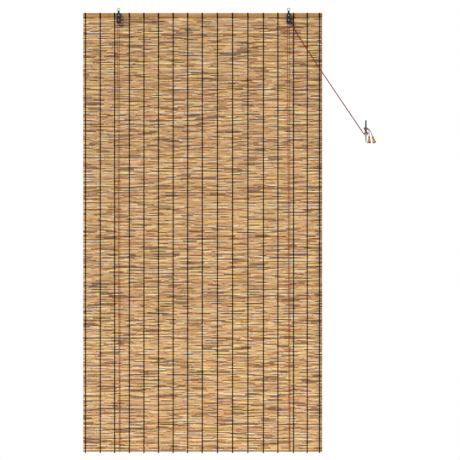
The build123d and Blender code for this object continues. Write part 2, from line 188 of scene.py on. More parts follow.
# Camera, floor and light
CAMERA_PLACE = (0.1322, -12.807, -1.1053)
CAMERA_LENS = 200.0
CAMERA_SENSOR = 36.0
CAMERA_REACH = 100.0
FLOOR_DROP = 2.6
FLOOR_SIZE = 5.0
SKY_LIGHT = 0.27
KEY_PLACE = (-1.0, -1.0, 1.1)
KEY_TARGET = (0.0, 0.0, 0.0)
KEY_STRENGTH = 3.15
KEY_ANGLE = 0.06
FILL_PLACE = (2.8, -4.0, -2.3)
FILL_TARGET = (0.0, 0.0, -1.3)
FILL_SIZE = 2.6
FILL_POWER = 44.0
BACK_PLACE = (-2.4, 5.0, 0.4)
BACK_TARGET = (0.0, 0.0, -1.1)
BACK_SIZE = 2.0
BACK_POWER = 150.0

# Routes of the cords, from the knots behind the batten to the knots under the tassels
LEFT_ROUTE = [
    (-0.417, 0.0191, -0.0247),
    (-0.417, 0.0177, -0.0305),
    (-0.4171, 0.0176, -0.0435),
    (-0.4215, 0.0169, -2.2030),
    (-0.4215, 0.0169, -2.21666),
    (-0.4215, 0.011, -2.22006),
    (-0.4215, 0.0051, -2.21666),
    (-0.4216, 0.0051, -2.2030),
    (-0.4314, 0.0003, -0.0640),
    (-0.4316, 0.0, -0.0502),
    (-0.4261, 0.0, -0.0470),
    (-0.4025, 0.0026, -0.0600),
    (-0.380, 0.0044, -0.0612),
    (-0.216, 0.0036, -0.0606),
    (-0.158, 0.0182, -0.0606),
    (0.229, 0.0182, -0.0915),
    (0.287, 0.0036, -0.0915),
    (0.396, 0.0044, -0.0956),
    (0.4172, 0.0036, -0.0950),
    (0.4203, 0.0024, -0.0812),
    (0.4203, 0.0020, -0.0640),
    (0.4203, 0.00155, -0.0506),
    (0.4247, 0.00155, -0.0473),
    (0.4301, 0.00155, -0.0486),
    (0.4354, 0.0016, -0.0607),
    (0.4495, 0.0018, -0.0920),
    (0.470, 0.0021, -0.1285),
    (0.6209, 0.0042, -0.3567),
    (0.7905, 0.0110, -0.6066),
]
RIGHT_ROUTE = [
    (0.434, 0.0191, -0.0247),
    (0.434, 0.0177, -0.0305),
    (0.4339, 0.0176, -0.0435),
    (0.4297, 0.0169, -2.2030),
    (0.4297, 0.0169, -2.21666),
    (0.4297, 0.011, -2.22006),
    (0.4297, 0.0051, -2.21666),
    (0.4296, 0.0051, -2.2030),
    (0.4205, -0.0015, -0.0640),
    (0.4203, -0.00155, -0.0506),
    (0.4247, -0.00155, -0.0473),
    (0.4301, -0.00155, -0.0486),
    (0.4358, -0.0015, -0.0607),
    (0.4503, -0.0013, -0.0915),
    (0.4709, -0.0010, -0.1279),
    (0.6224, 0.0011, -0.3557),
    (0.7919, 0.0076, -0.6056),
]
LEFT_HITCH = [
    (0.8000, 0.0130, -0.6200),
    (0.8054, 0.0136, -0.6268),
    (0.8130, 0.0136, -0.6282),
    (0.8200, 0.0132, -0.6278),
    (0.8260, 0.0080, -0.6228),
    (0.8212, -0.0018, -0.6176),
    (0.8147, -0.0027, -0.6091),
    (0.8093, -0.0018, -0.6006),
    (0.8040, 0.0062, -0.5932),
    (0.8066, 0.0132, -0.5926),
    (0.8130, 0.0134, -0.5928),
    (0.8198, 0.0130, -0.5930),
    (0.8252, 0.0074, -0.5964),
]
LEFT_TAIL = [
    (0.8278, 0.0062, -0.6030),
    (0.8292, 0.0066, -0.6120),
    (0.8296, 0.0085, -0.6240),
    (0.8296, 0.0085, -0.6652),
]
RIGHT_HITCH = [
    (0.7990, 0.0070, -0.6178),
    (0.8030, 0.0038, -0.6224),
    (0.8064, 0.0008, -0.6190),
    (0.8122, 0.0002, -0.6108),
    (0.8182, 0.0008, -0.6024),
    (0.8236, 0.0052, -0.5966),
    (0.8195, 0.0102, -0.5951),
    (0.8130, 0.0104, -0.5951),
    (0.8065, 0.0102, -0.5951),
    (0.8022, 0.0048, -0.5962),
    (0.8066, -0.0016, -0.6026),
    (0.8120, -0.0027, -0.6108),
    (0.8184, -0.0016, -0.6190),
    (0.8238, 0.0052, -0.6248),
    (0.8195, 0.0102, -0.6259),
    (0.8130, 0.0104, -0.6259),
    (0.8062, 0.0102, -0.6259),
    (0.8020, 0.0048, -0.6256),
    (0.8074, -0.0020, -0.6202),
    (0.8136, -0.0057, -0.6112),
    (0.8192, -0.0024, -0.6022),
]
RIGHT_TAIL = [
    (0.8252, 0.0012, -0.5974),
    (0.8310, 0.0026, -0.6034),
    (0.8395, 0.0054, -0.6158),
    (0.8447, 0.0085, -0.62854),
    (0.85568, 0.0085, -0.66513),
]


def linear(level):
    """One sRGB level from 0 to 255, as a linear value from 0 to 1."""
    share = level / 255
    return share / 12.92 if share <= 0.04045 else ((share + 0.055) / 1.055) ** 2.4


def srgb(red, green, blue):
    """A colour written as sRGB levels, as a linear RGBA tuple."""
    return (linear(red), linear(green), linear(blue), 1.0)


class Look:
    """Short calls to build one material's node tree."""

    def __init__(self, name):
        self.material = bpy.data.materials.new(name)
        self.material.use_nodes = True
        self.tree = self.material.node_tree
        self.shader = self.tree.nodes["Principled BSDF"]

    def link(self, source, target):
        self.tree.links.new(source, target)

    def put(self, socket, value):
        """Links a socket's value, or sets it where it is a plain one."""
        if isinstance(value, bpy.types.NodeSocket):
            self.link(value, socket)
        else:
            socket.default_value = value

    def finish(self, **sockets):
        """Gives the shader its values, by the names of its sockets, and hands the material out."""
        for name, value in sockets.items():
            self.put(self.shader.inputs[name.replace("_", " ")], value)
        return self.material

    def attribute(self, name):
        """A value that the mesh holds at its points."""
        node = self.tree.nodes.new("ShaderNodeAttribute")
        node.attribute_name = name
        return node.outputs["Fac"]

    def place(self):
        """The point in the object's own space."""
        return self.tree.nodes.new("ShaderNodeTexCoord").outputs["Object"]

    def axes(self):
        """The point's x, y and z in the object's own space."""
        node = self.tree.nodes.new("ShaderNodeSeparateXYZ")
        self.link(self.place(), node.inputs[0])
        return node.outputs

    def join(self, x, y, z):
        """A point made of three values."""
        node = self.tree.nodes.new("ShaderNodeCombineXYZ")
        for socket, value in zip(node.inputs, (x, y, z)):
            self.put(socket, value)
        return node.outputs[0]

    def stretched(self, x, y, z):
        """The point in the object's own space, with its own scale along each axis."""
        return self.join(*(self.times(value, scale) for value, scale in zip(self.axes(), (x, y, z))))

    def math(self, operation, first, second=0.0):
        """A sum, product or the like of one or two values."""
        node = self.tree.nodes.new("ShaderNodeMath")
        node.operation = operation
        self.put(node.inputs[0], first)
        self.put(node.inputs[1], second)
        return node.outputs[0]

    def times(self, value, factor):
        return self.math("MULTIPLY", value, factor)

    def weigh(self, start, *pairs):
        """A sum of values, each times its weight, on top of a start."""
        total = start
        for value, weight in pairs:
            total = self.math("ADD", self.times(value, weight), total)
        return total

    def balance(self, pairs):
        """A sum of values from 0 to 1, each times its weight, moved so that its middle is a half."""
        return self.weigh(0.5 - 0.5 * sum(weight for _, weight in pairs), *pairs)

    def ridges(self, value):
        """Round ridges from 0 to 1, one for each unit of a running value."""
        return self.math("ABSOLUTE", self.math("SINE", self.times(value, math.pi)))

    def noise(self, vector, scale=1.0, detail=2.0, roughness=0.5):
        """Soft clouds, mostly between 0.3 and 0.7."""
        node = self.tree.nodes.new("ShaderNodeTexNoise")
        self.link(vector, node.inputs["Vector"])
        node.inputs["Scale"].default_value = scale
        node.inputs["Detail"].default_value = detail
        node.inputs["Roughness"].default_value = roughness
        return node.outputs["Fac"]

    def patches(self, value, softness):
        """A random number from 0 to 1 for each stretch, about one unit long, of a running value."""
        node = self.tree.nodes.new("ShaderNodeTexVoronoi")
        node.voronoi_dimensions = "1D"
        node.feature = "SMOOTH_F1"
        self.link(value, node.inputs["W"])
        node.inputs["Scale"].default_value = 1.0
        node.inputs["Smoothness"].default_value = softness
        parts = self.tree.nodes.new("ShaderNodeSeparateColor")
        self.link(node.outputs["Color"], parts.inputs[0])
        return parts.outputs["Red"]

    def ramp(self, value, stops):
        """A colour for each value, from stops that each have a place and a colour."""
        node = self.tree.nodes.new("ShaderNodeValToRGB")
        self.link(value, node.inputs["Fac"])
        points = node.color_ramp.elements
        while len(points) < len(stops):
            points.new(1.0)
        for point, (place, colour) in zip(points, stops):
            point.position = place
            point.color = colour
        return node.outputs["Color"]

    def level(self, value, span, onto=(0.0, 1.0)):
        """A value taken smoothly from one span onto another."""
        node = self.tree.nodes.new("ShaderNodeMapRange")
        node.interpolation_type = "SMOOTHSTEP"
        for socket, number in zip(node.inputs, (value, *span, *onto)):
            self.put(socket, number)
        return node.outputs[0]

    def mix(self, share, first, second, blend="MIX"):
        """A first colour with a share of a second one laid over it."""
        node = self.tree.nodes.new("ShaderNodeMix")
        node.data_type = "RGBA"
        node.blend_type = blend
        self.put(node.inputs["Factor"], share)
        self.put(node.inputs[6], first)
        self.put(node.inputs[7], second)
        return node.outputs[2]

    def tinted(self, colour, value, high_tint, low_tint):
        """A colour with one tint where a value is above a half and another where it is below."""
        colour = self.mix(self.level(value, HIGH_TINT_SPAN), colour, high_tint, "MULTIPLY")
        return self.mix(self.level(value, LOW_TINT_SPAN), colour, low_tint, "MULTIPLY")

    def bump(self, height, distance, strength):
        """A surface that rises and falls with a height."""
        node = self.tree.nodes.new("ShaderNodeBump")
        self.link(height, node.inputs["Height"])
        node.inputs["Distance"].default_value = distance
        node.inputs["Strength"].default_value = strength
        return node.outputs["Normal"]


# Reed colours by paleness, and tints: waves per metre, how far reeds are thrown apart, and the two tints
REED_RAMP = [
    (0.08, srgb(131, 86, 61)),
    (0.30, srgb(186, 140, 104)),
    (0.50, srgb(223, 182, 136)),
    (0.69, srgb(242, 209, 161)),
    (0.92, srgb(253, 236, 195)),
]
REED_TINTS = [
    (8.0, 391.0, srgb(255, 244, 208), srgb(228, 240, 255)),
    (7.0, 577.0, srgb(255, 237, 240), srgb(244, 254, 255)),
    (9.0, 733.0, srgb(255, 253, 204), srgb(239, 237, 255)),
]
REED_STREAK = srgb(92, 60, 36)
REED_FIBRE = srgb(150, 116, 80)
REED_NODE = srgb(112, 80, 52)


def reed_paleness(look, x, reeds):
    """How pale a reed is along its length: its own stretches, less a share of its neighbours'."""
    tone = reeds[0][0]
    run = look.times(x, STRETCHES_PER_METRE)
    within = look.math("FRACT", look.attribute("internodes"))
    repeats = look.weigh(look.times(within, REPEATS_PER_INTERNODE), (tone, REPEAT_THROW))
    causes = [(look.patches(repeats, PATCH_SOFTNESS), REPEAT_WEIGHT)]
    for reed, share in reeds:
        stretch = look.patches(look.weigh(run, (reed, STRETCH_THROW)), PATCH_SOFTNESS)
        causes += [(stretch, share * STRETCH_WEIGHT), (reed, share * TONE_WEIGHT)]
    return look.balance(causes)


def reed_hue(look, x, reeds, waves, throw):
    """A slow change along a reed, less a share of its neighbours'."""
    run = look.times(x, waves)
    clouds = []
    for reed, share in reeds:
        clouds.append((look.noise(look.join(run, look.times(reed, throw), 0.0)), share))
    return look.balance(clouds)


def reed_material():
    """Dry reed: stretches of straw, gold, tan and brown, each reed set off from the next, and fine fibres."""
    look = Look("dry_reed")
    x = look.axes()[0]
    tone = look.attribute("tone")
    neighbours = [look.attribute("tone_above"), look.attribute("tone_below")]
    reeds = [(tone, 1.0)] + [(neighbour, -REED_SET_OFF) for neighbour in neighbours]
    colour = look.ramp(reed_paleness(look, x, reeds), REED_RAMP)
    for waves, throw, high_tint, low_tint in REED_TINTS:
        colour = look.tinted(colour, reed_hue(look, x, reeds, waves, throw), high_tint, low_tint)
    streaks = look.weigh(look.times(x, STREAKS_PER_METRE), (tone, STREAK_THROW))
    streak = look.level(look.patches(streaks, STREAK_SOFTNESS), STREAK_SPAN, (0.0, STREAK_STRENGTH))
    colour = look.mix(streak, colour, REED_STREAK)
    fibre = look.noise(look.stretched(x=25.0, y=1.0, z=1.0), scale=900.0, detail=3.0, roughness=0.6)
    colour = look.mix(look.level(fibre, (0.3, 0.7), (FIBRE_STRENGTH, 0.0)), colour, REED_FIBRE, "MULTIPLY")
    colour = look.mix(look.times(look.attribute("node_ring"), REED_NODE_STRENGTH), colour, REED_NODE)
    return look.finish(
        Base_Color=colour,
        Roughness=look.level(fibre, (0.2, 0.8), (0.5, 0.7)),
        Specular_IOR_Level=0.25,
        Normal=look.bump(fibre, distance=0.0002, strength=0.5),
    )


def cane_material(name, light, middle, dark):
    """Lacquered bamboo with long fibres, paler and darker stretches, and a painted highlight along the
    front's crown where a piece has one.
    """
    look = Look(name)
    fibre_weight = 0.55
    cloud_weight = 0.45
    crown_strength = 0.45
    node_strength = 0.6
    fibre = look.noise(look.stretched(x=6.0, y=420.0, z=420.0), detail=4.0, roughness=0.6)
    cloud = look.noise(look.stretched(x=9.0, y=60.0, z=60.0), detail=3.0)
    both = look.weigh(0.0, (fibre, fibre_weight), (cloud, cloud_weight))
    colour = look.ramp(both, [(0.36, dark), (0.5, middle), (0.62, light)])
    # Painted highlight: the crown of the front is mixed towards the light colour.
    colour = look.mix(look.times(look.attribute("crown"), crown_strength), colour, light)
    colour = look.mix(look.times(look.attribute("node_ring"), node_strength), colour, dark)
    return look.finish(
        Base_Color=colour,
        Roughness=look.level(fibre, (0.3, 0.7), (0.34, 0.52)),
        Coat_Weight=0.08,
        Coat_Roughness=0.3,
        Specular_IOR_Level=0.2,
        Normal=look.bump(fibre, distance=0.00015, strength=0.4),
    )


def yarn_material():
    """Black two-ply yarn: diagonal plies along each strand."""
    look = Look("black_yarn")
    plies = 2.0
    turns_per_metre = 420.0
    fuzz_weight = 0.5
    ramp_share = 0.7
    turn = look.weigh(0.0, (look.attribute("around"), plies), (look.attribute("along"), turns_per_metre))
    fuzz = look.noise(look.place(), scale=2600.0, detail=3.0, roughness=0.7)
    height = look.weigh(look.ridges(turn), (fuzz, fuzz_weight))
    colour = look.ramp(look.times(height, ramp_share), [(0.15, srgb(8, 7, 8)), (0.9, srgb(26, 23, 24))])
    return look.finish(
        Base_Color=colour,
        Roughness=0.9,
        Specular_IOR_Level=0.12,
        Normal=look.bump(height, distance=0.0004, strength=0.8),
    )


def cord_material():
    """Rust-brown braided cord: strands that cross both ways round it, darker where hands take it and with
    painted shade over the hitch.
    """
    look = Look("rust_cord")
    strands = 4.0
    crossings_per_metre = 900.0
    fuzz_weight = 0.4
    ramp_share = 0.8
    around = look.times(look.attribute("around"), strands)
    along = look.times(look.attribute("along"), crossings_per_metre)
    one_way = look.ridges(look.math("ADD", along, around))
    other_way = look.ridges(look.math("SUBTRACT", along, around))
    fuzz = look.noise(look.place(), scale=1800.0, detail=3.0, roughness=0.6)
    height = look.weigh(look.times(one_way, other_way), (fuzz, fuzz_weight))
    colour = look.ramp(look.times(height, ramp_share), [
        (0.1, srgb(102, 35, 3)),
        (0.45, srgb(160, 65, 10)),
        (0.9, srgb(194, 97, 25)),
    ])
    faded = look.level(look.noise(look.place(), scale=45.0), (0.35, 0.65), (0.0, 0.35))
    colour = look.mix(faded, colour, srgb(190, 120, 70), "MULTIPLY")
    # Darker over the cord's last stretch and its knots: handling dirt, and painted shade in the hitch.
    colour = look.mix(look.attribute("handled"), colour, srgb(186, 166, 140), "MULTIPLY")
    return look.finish(
        Base_Color=colour,
        Roughness=0.85,
        Specular_IOR_Level=0.06,
        Normal=look.bump(height, distance=0.0003, strength=0.7),
    )


def paint_material():
    """Black satin paint with a faint orange-peel and lighter worn spots."""
    look = Look("black_paint")
    grain = look.noise(look.place(), scale=900.0, detail=3.0, roughness=0.6)
    wear = look.noise(look.place(), scale=160.0, detail=4.0, roughness=0.65)
    colour = look.ramp(wear, [
        (0.35, srgb(18, 19, 22)),
        (0.6, srgb(28, 30, 34)),
        (0.75, srgb(52, 53, 56)),
    ])
    return look.finish(
        Base_Color=colour,
        Roughness=look.level(wear, (0.3, 0.7), (0.36, 0.5)),
        Specular_IOR_Level=0.25,
        Normal=look.bump(grain, distance=0.00012, strength=0.35),
    )


def nylon_material():
    """Matt black nylon with a fine moulded grain."""
    look = Look("black_nylon")
    grain = look.noise(look.place(), scale=1400.0)
    return look.finish(
        Base_Color=look.ramp(grain, [(0.3, srgb(34, 34, 36)), (0.7, srgb(50, 50, 52))]),
        Roughness=0.62,
        Specular_IOR_Level=0.25,
        Normal=look.bump(grain, distance=0.0001, strength=0.3),
    )


def metal_material(name, light, dark, roughness, painted_shade_span=None):
    """Plated metal with faint brushing and a few dull clouds, and painted shade that darkens it upwards over
    a span of heights.
    """
    look = Look(name)
    start = 0.27
    brushed_weight = 0.2
    cloud_weight = 0.3
    painted_shade_weight = -0.3
    roughness_spread = 0.16
    brushed = look.noise(look.stretched(x=2600.0, y=2600.0, z=180.0))
    cloud = look.noise(look.place(), scale=190.0, detail=3.0)
    both = look.weigh(start, (brushed, brushed_weight), (cloud, cloud_weight))
    # Painted shade: the colour darkens towards the top of the span, as on the cleat's downward-facing upper
    # horn.
    if painted_shade_span:
        both = look.weigh(both, (look.level(look.axes()[2], painted_shade_span), painted_shade_weight))
    return look.finish(
        Base_Color=look.ramp(both, [(0.34, dark), (0.6, light)]),
        Metallic=1.0,
        Roughness=look.level(both, (0.35, 0.65), (roughness, roughness + roughness_spread)),
        Normal=look.bump(brushed, distance=0.00006, strength=0.3),
    )


def tassel_material(name, foot, top):
    """Varnished turned wood with short dark pores, with painted shade at the foot rim and at the knob."""
    look = Look(name)
    grain_weight = 0.6
    band_weight = 0.4
    rim_strength = 0.85
    knob_strength = 0.6
    z = look.axes()[2]
    grain = look.noise(look.stretched(x=520.0, y=520.0, z=70.0), detail=4.0, roughness=0.6)
    bands = look.noise(look.place(), scale=95.0)
    both = look.weigh(0.0, (grain, grain_weight), (bands, band_weight))
    colour = look.ramp(both, [
        (0.34, srgb(116, 68, 20)),
        (0.5, srgb(182, 118, 42)),
        (0.66, srgb(220, 152, 62)),
    ])
    # Painted shade: darker at the foot rim, underneath, and at the neck of the knob.
    rim = look.level(z, [foot + rise for rise in RIM_PAINTED_SHADE], (0.0, rim_strength))
    knob = look.level(z, [top - drop for drop in KNOB_PAINTED_SHADE], (0.0, knob_strength))
    colour = look.mix(rim, colour, srgb(70, 40, 14))
    colour = look.mix(knob, colour, srgb(88, 52, 18))
    return look.finish(
        Base_Color=colour,
        Roughness=look.level(grain, (0.3, 0.7), (0.3, 0.45)),
        Specular_IOR_Level=0.3,
        Coat_Weight=0.2,
        Coat_Roughness=0.15,
        Normal=look.bump(grain, distance=0.0001, strength=0.3),
    )


class MeshParts:
    """Vertices, faces and point attributes of tubes that make up one mesh."""

    def __init__(self):
        self.vertices = []
        self.faces = []
        self.attributes = {}
        self.total = 0

    def tube(self, rings, **attributes):
        """Adds a closed tube through rings, stations by sides by 3, with attributes of the same size."""
        stations, sides, _ = rings.shape
        start = self.total
        last = start + (stations - 1) * sides
        self.vertices.append(rings.reshape(-1, 3))
        rows = start + np.arange(stations - 1)[:, None] * sides
        first = rows + np.arange(sides)
        ahead = rows + (np.arange(sides) + 1) % sides
        quads = np.stack([first, ahead, ahead + sides, first + sides], axis=-1).reshape(-1, 4)
        self.faces.extend(quads.tolist())
        self.faces.append(list(range(start + sides - 1, start - 1, -1)))
        self.faces.append(list(range(last, last + sides)))
        for name, values in attributes.items():
            shaped = np.broadcast_to(values, (stations, sides)).reshape(-1)
            self.attributes.setdefault(name, []).append(shaped)
        self.total += stations * sides

    def strand(self, points, rings, **attributes):
        """Adds a tube of yarn or cord, which knows how far along and around it each vertex is."""
        sides = rings.shape[1]
        along = path_lengths(points)[:, None]
        self.tube(rings, along=along, around=np.arange(sides) / sides, **attributes)

    def piece(self, name, material, slot, *replaced):
        """Makes the mesh a piece of the blind that stands for the replaced nodes."""
        mesh = bpy.data.meshes.new(name)
        mesh.from_pydata(np.concatenate(self.vertices).tolist(), [], self.faces)
        mesh.validate()
        mesh.polygons.foreach_set("use_smooth", [True] * len(mesh.polygons))
        for key, values in self.attributes.items():
            layer = mesh.attributes.new(key, "FLOAT", "POINT")
            layer.data.foreach_set("value", np.concatenate(values).astype(np.float32))
        mesh.materials.append(material)
        mesh.update()
        piece = bpy.data.objects.new(name, mesh)
        bpy.context.scene.collection.objects.link(piece)
        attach(piece, BODY)
        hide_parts(*replaced)
        return piece


def circle(sides):
    """Cosines and sines round a circle."""
    angles = 2 * math.pi * np.arange(sides) / sides
    return np.cos(angles), np.sin(angles)


def unit(vectors):
    """Rows of vectors, each made one unit long."""
    return vectors / np.linalg.norm(vectors, axis=1)[:, None]


def path_lengths(points):
    """How far along the path each point is."""
    steps = np.linalg.norm(np.diff(np.asarray(points, float), axis=0), axis=1)
    return np.concatenate([[0.0], np.cumsum(steps)])


def path_rings(points, radius, sides, half_width=None):
    """Rings square to a path that doesn't run along X, round, or oval with half_width along X."""
    points = np.asarray(points, float)
    tangents = unit(np.gradient(points, axis=0))
    side_axis = np.array([1.0, 0.0, 0.0])
    across = unit(side_axis - tangents * (tangents @ side_axis)[:, None])
    normal = np.cross(tangents, across)
    radius = np.broadcast_to(radius, len(points))
    width = radius if half_width is None else np.broadcast_to(half_width, len(points))
    cos, sin = circle(sides)
    rings = points[:, None, :] + across[:, None, :] * (width[:, None] * cos)[..., None]
    return rings + normal[:, None, :] * (radius[:, None] * sin)[..., None]


def steady_rings(points, radius, sides):
    """Round rings along a free path, turned as little as possible from one to the next."""
    tangents = unit(np.gradient(points, axis=0))
    across = np.cross(tangents[0], (0.0, 1.0, 0.0))
    cos, sin = circle(sides)
    rings = []
    for point, tangent in zip(points, tangents):
        across = across - tangent * (across @ tangent)
        across /= np.linalg.norm(across)
        normal = np.cross(tangent, across)
        rings.append(point + radius * (cos[:, None] * across + sin[:, None] * normal))
    return np.array(rings)


def oval_rings(x, y, z, half_depth, half_height, sides):
    """Upright oval rings of a cane that runs along X."""
    cos, sin = circle(sides)
    rings = np.empty((len(x), sides, 3))
    rings[..., 0] = x[:, None]
    rings[..., 1] = np.reshape(y, (-1, 1)) + half_depth[:, None] * cos
    rings[..., 2] = np.reshape(z, (-1, 1)) + half_height[:, None] * sin
    return rings


def node_mask(x, node_places, half_length):
    """1 at each node of a cane, falling to 0 on both sides of it."""
    away = np.abs(x[:, None] - node_places[None, :]).min(axis=1)
    return np.clip(1 - away / half_length, 0, 1)


def spline_points(name, route):
    """Points along the smooth line of a route, read from its NURBS spline."""
    curve = bpy.data.curves.new(name, "CURVE")
    curve.dimensions = "3D"
    curve.resolution_u = SPLINE_STEPS
    spline = curve.splines.new("NURBS")
    spline.points.add(len(route) - 1)
    for point, place in zip(spline.points, route):
        point.co = (*place, 1.0)
    spline.order_u = 3
    spline.use_endpoint_u = True
    holder = bpy.data.objects.new(name, curve)
    mesh = bpy.data.meshes.new_from_object(holder)
    points = np.array([vertex.co for vertex in mesh.vertices])
    bpy.data.meshes.remove(mesh)
    bpy.data.objects.remove(holder)
    bpy.data.curves.remove(curve)
    return points


def overhand_knot(parts, centre, axis):
    """A small round knot of the cord, wound about an axis."""
    steps = np.linspace(0, 1, CORD_KNOT_STEPS)
    angles = 2 * math.pi * CORD_KNOT_TURNS * steps
    axis = np.asarray(axis, float) / np.linalg.norm(axis)
    side = np.cross(axis, (0.0, 1.0, 0.0))
    front = np.cross(axis, side)
    bulge = CORD_KNOT_RADIUS * (CORD_KNOT_END_SHARE + CORD_KNOT_BULGE_SHARE * np.sin(math.pi * steps))
    lift = CORD_KNOT_RADIUS * CORD_KNOT_LENGTH_SHARE * (steps - 0.5)
    places = np.asarray(centre, float) + axis * lift[:, None]
    places = places + bulge[:, None] * (np.cos(angles)[:, None] * side + np.sin(angles)[:, None] * front)
    parts.strand(places, steady_rings(places, CORD_DIAMETER / 2, CORD_SIDES), handled=1.0)


def lift_cord(name, material, route, tassel, *replaced):
    """One lift cord as a braided tube with a knot at each end."""
    points = spline_points(name, route)
    lengths = path_lengths(points)
    handled = np.clip((lengths - lengths[-1] + SHADED_HANDLED_LENGTH) / SHADED_HANDLED_FADE, 0, 1)
    parts = MeshParts()
    parts.strand(points, steady_rings(points, CORD_DIAMETER / 2, CORD_SIDES), handled=handled[:, None])
    piece = parts.piece(name, material, "cord", *replaced)
    knots = MeshParts()
    overhand_knot(knots, route[0], np.subtract(route[1], route[0]))
    overhand_knot(knots, route[-1], np.subtract(route[-1], route[-2]))
    knot_piece = knots.piece(name + "_knots", material, "cord")


def lift_cords():
    """Both lift cords. The left one also stands for the hitch that both make round the cleat.

    The points of their routes up to the cleat are those of the CAD model's tubes, a few of them moved by some
    millimetres, with one more beside each staple, pulley, the rod and the cleat.
    """
    rust = cord_material()
    lift_cord(
        "left_cord", rust, LEFT_ROUTE + LEFT_HITCH + LEFT_TAIL, "left_tassel",
        "left_lift_cord", "left_cord_tail", "cleat_hitch",
    )
    lift_cord(
        "right_cord", rust, RIGHT_ROUTE + RIGHT_HITCH + RIGHT_TAIL, "right_tassel",
        "right_lift_cord", "right_cord_tail",
    )


def reed_heights():
    """The middles and heights of the reeds, from the top down."""
    heights = rng.uniform(*REED_HEIGHT_SHARES, REED_COUNT)
    heights *= (MAT_HIGH.z - MAT_LOW.z) / heights.sum()
    edges = MAT_HIGH.z - np.concatenate([[0.0], np.cumsum(heights)])
    return (edges[:-1] + edges[1:]) / 2, heights


def reed_nodes():
    """The places of one reed's nodes, where the first was meant to be, and the length of its internodes."""
    gap = INTERNODE + rng.uniform(-INTERNODE_SCATTER, INTERNODE_SCATTER)
    first = MAT_LOW.x + rng.uniform(*FIRST_NODE_SHARES) * gap
    count = int((MAT_HIGH.x - NODE_END_MARGIN - first) / gap) + 1
    places = first + gap * np.arange(count)
    return places + rng.uniform(-NODE_SCATTER, NODE_SCATTER, count), first, gap


def reed_stations(node_places):
    """Places along one reed: its ends, each node and beside it, and two between nodes."""
    edges = [MAT_LOW.x, *node_places, MAT_HIGH.x]
    places = [MAT_LOW.x, MAT_HIGH.x]
    for start, end in zip(edges, edges[1:]):
        places += [start + share * (end - start) for share in BEND_SHARES]
    for node in node_places:
        places += [node - NODE_HALF_LENGTH, node, node + NODE_HALF_LENGTH]
    return np.array(sorted(places))


def internode_count(x, node_places, first, gap):
    """A running count of internodes along a reed, which is whole at each node."""
    count = np.interp(x, node_places, np.arange(len(node_places)) + 1.0)
    count = np.where(x < first, 1 - (first - x) / gap, count)
    return np.where(x > node_places[-1], len(node_places) + (x - node_places[-1]) / gap, count)


def wander(places, amplitude, wave):
    """A slow, smooth drift along a piece."""
    drift = np.zeros(len(places))
    for divisor in WANDER_DIVISORS:
        phase = rng.uniform(0, 2 * math.pi)
        drift += np.sin(2 * math.pi * places / (wave / divisor) + phase) / divisor
    return amplitude * drift / WANDER_LEVEL


def pass_push(x, z, height):
    """How far a reed gives way to the cord where it goes through the mat."""
    push = np.zeros(len(x))
    for leg in PASS_LEGS:
        middle = (np.array(LEFT_ROUTE[leg]) + np.array(LEFT_ROUTE[leg + 1])) / 2
        away = z - middle[2]
        if abs(away) < PASS_REACH_SHARE * height:
            side = 1.0 if away >= 0 else -1.0
            room = max(0.0, PASS_HALF_HEIGHT + height / 2 - abs(away))
            push += side * room * np.exp(-(((x - middle[0]) / PASS_HALF_LENGTH) ** PASS_SHARPNESS))
    return push


def reed_rings(x, ring, middle, height, side):
    """One reed's rings: a slightly wavy cane with swollen nodes and uneven ends."""
    z = middle + wander(x, REED_WANDER, REED_WAVE) + pass_push(x, middle, height)
    y = MAT_MIDDLE + side * REED_STAGGER + wander(x, REED_STAGGER, STAGGER_WAVE)
    swell = 1 + NODE_SWELL_SHARE * ring + wander(x, SWELL_WANDER_SHARE, SWELL_WAVE)
    ends = x.copy()
    ends[0] += rng.uniform(0, REED_END_SCATTER)
    ends[-1] -= rng.uniform(0, REED_END_SCATTER)
    half_depth = REED_DEPTH / 2 * swell
    half_height = REED_OVERLAP_SHARE * height / 2 * swell
    return oval_rings(ends, y, z, half_depth, half_height, REED_SIDES)


def reed_mat(middles, heights):
    """Every reed of the mat, laid so close that no light comes through."""
    parts = MeshParts()
    tones = rng.uniform(0, 1, REED_COUNT + 2)
    for index, (middle, height) in enumerate(zip(middles, heights)):
        node_places, first, gap = reed_nodes()
        x = reed_stations(node_places)
        ring = node_mask(x, node_places, NODE_HALF_LENGTH)
        parts.tube(
            reed_rings(x, ring, middle, height, side=1 if index % 2 else -1),
            tone=tones[index + 1],
            tone_above=tones[index],
            tone_below=tones[index + 2],
            internodes=internode_count(x, node_places, first, gap)[:, None],
            node_ring=ring[:, None],
        )
    parts.piece("reeds", reed_material(), "reed", "reed_mat")


def stitches(parts, x, middles, heights, phase):
    """One strand of a thread: over one reed and behind the next, down the whole mat."""
    rows, widths = [], []
    front = MAT_MIDDLE - REED_DEPTH / 2 - REED_STAGGER - STITCH_LIFT_SHARE * STITCH_HALF_DEPTH
    back = 2 * MAT_MIDDLE - front
    side = 1 if phase else -1
    for index, (middle, height) in enumerate(zip(middles, heights)):
        depth = front if (index + phase) % 2 == 0 else back
        lean = STITCH_LEAN if depth == front else -STITCH_LEAN
        rows.append((x - lean, depth, middle + STITCH_REACH_SHARE * height))
        rows.append((x + lean, depth, middle - STITCH_REACH_SHARE * height))
        rows.append((x + side * CROSS_SHIFT, MAT_MIDDLE, middle - height / 2))
        widths += [1.0, 1.0, PINCH_SHARE]
    widths = np.array(widths) * rng.uniform(*STITCH_WIDTH_SHARES, len(widths))
    parts.strand(rows, path_rings(rows, STITCH_HALF_DEPTH, YARN_SIDES, STITCH_HALF_WIDTH * widths))


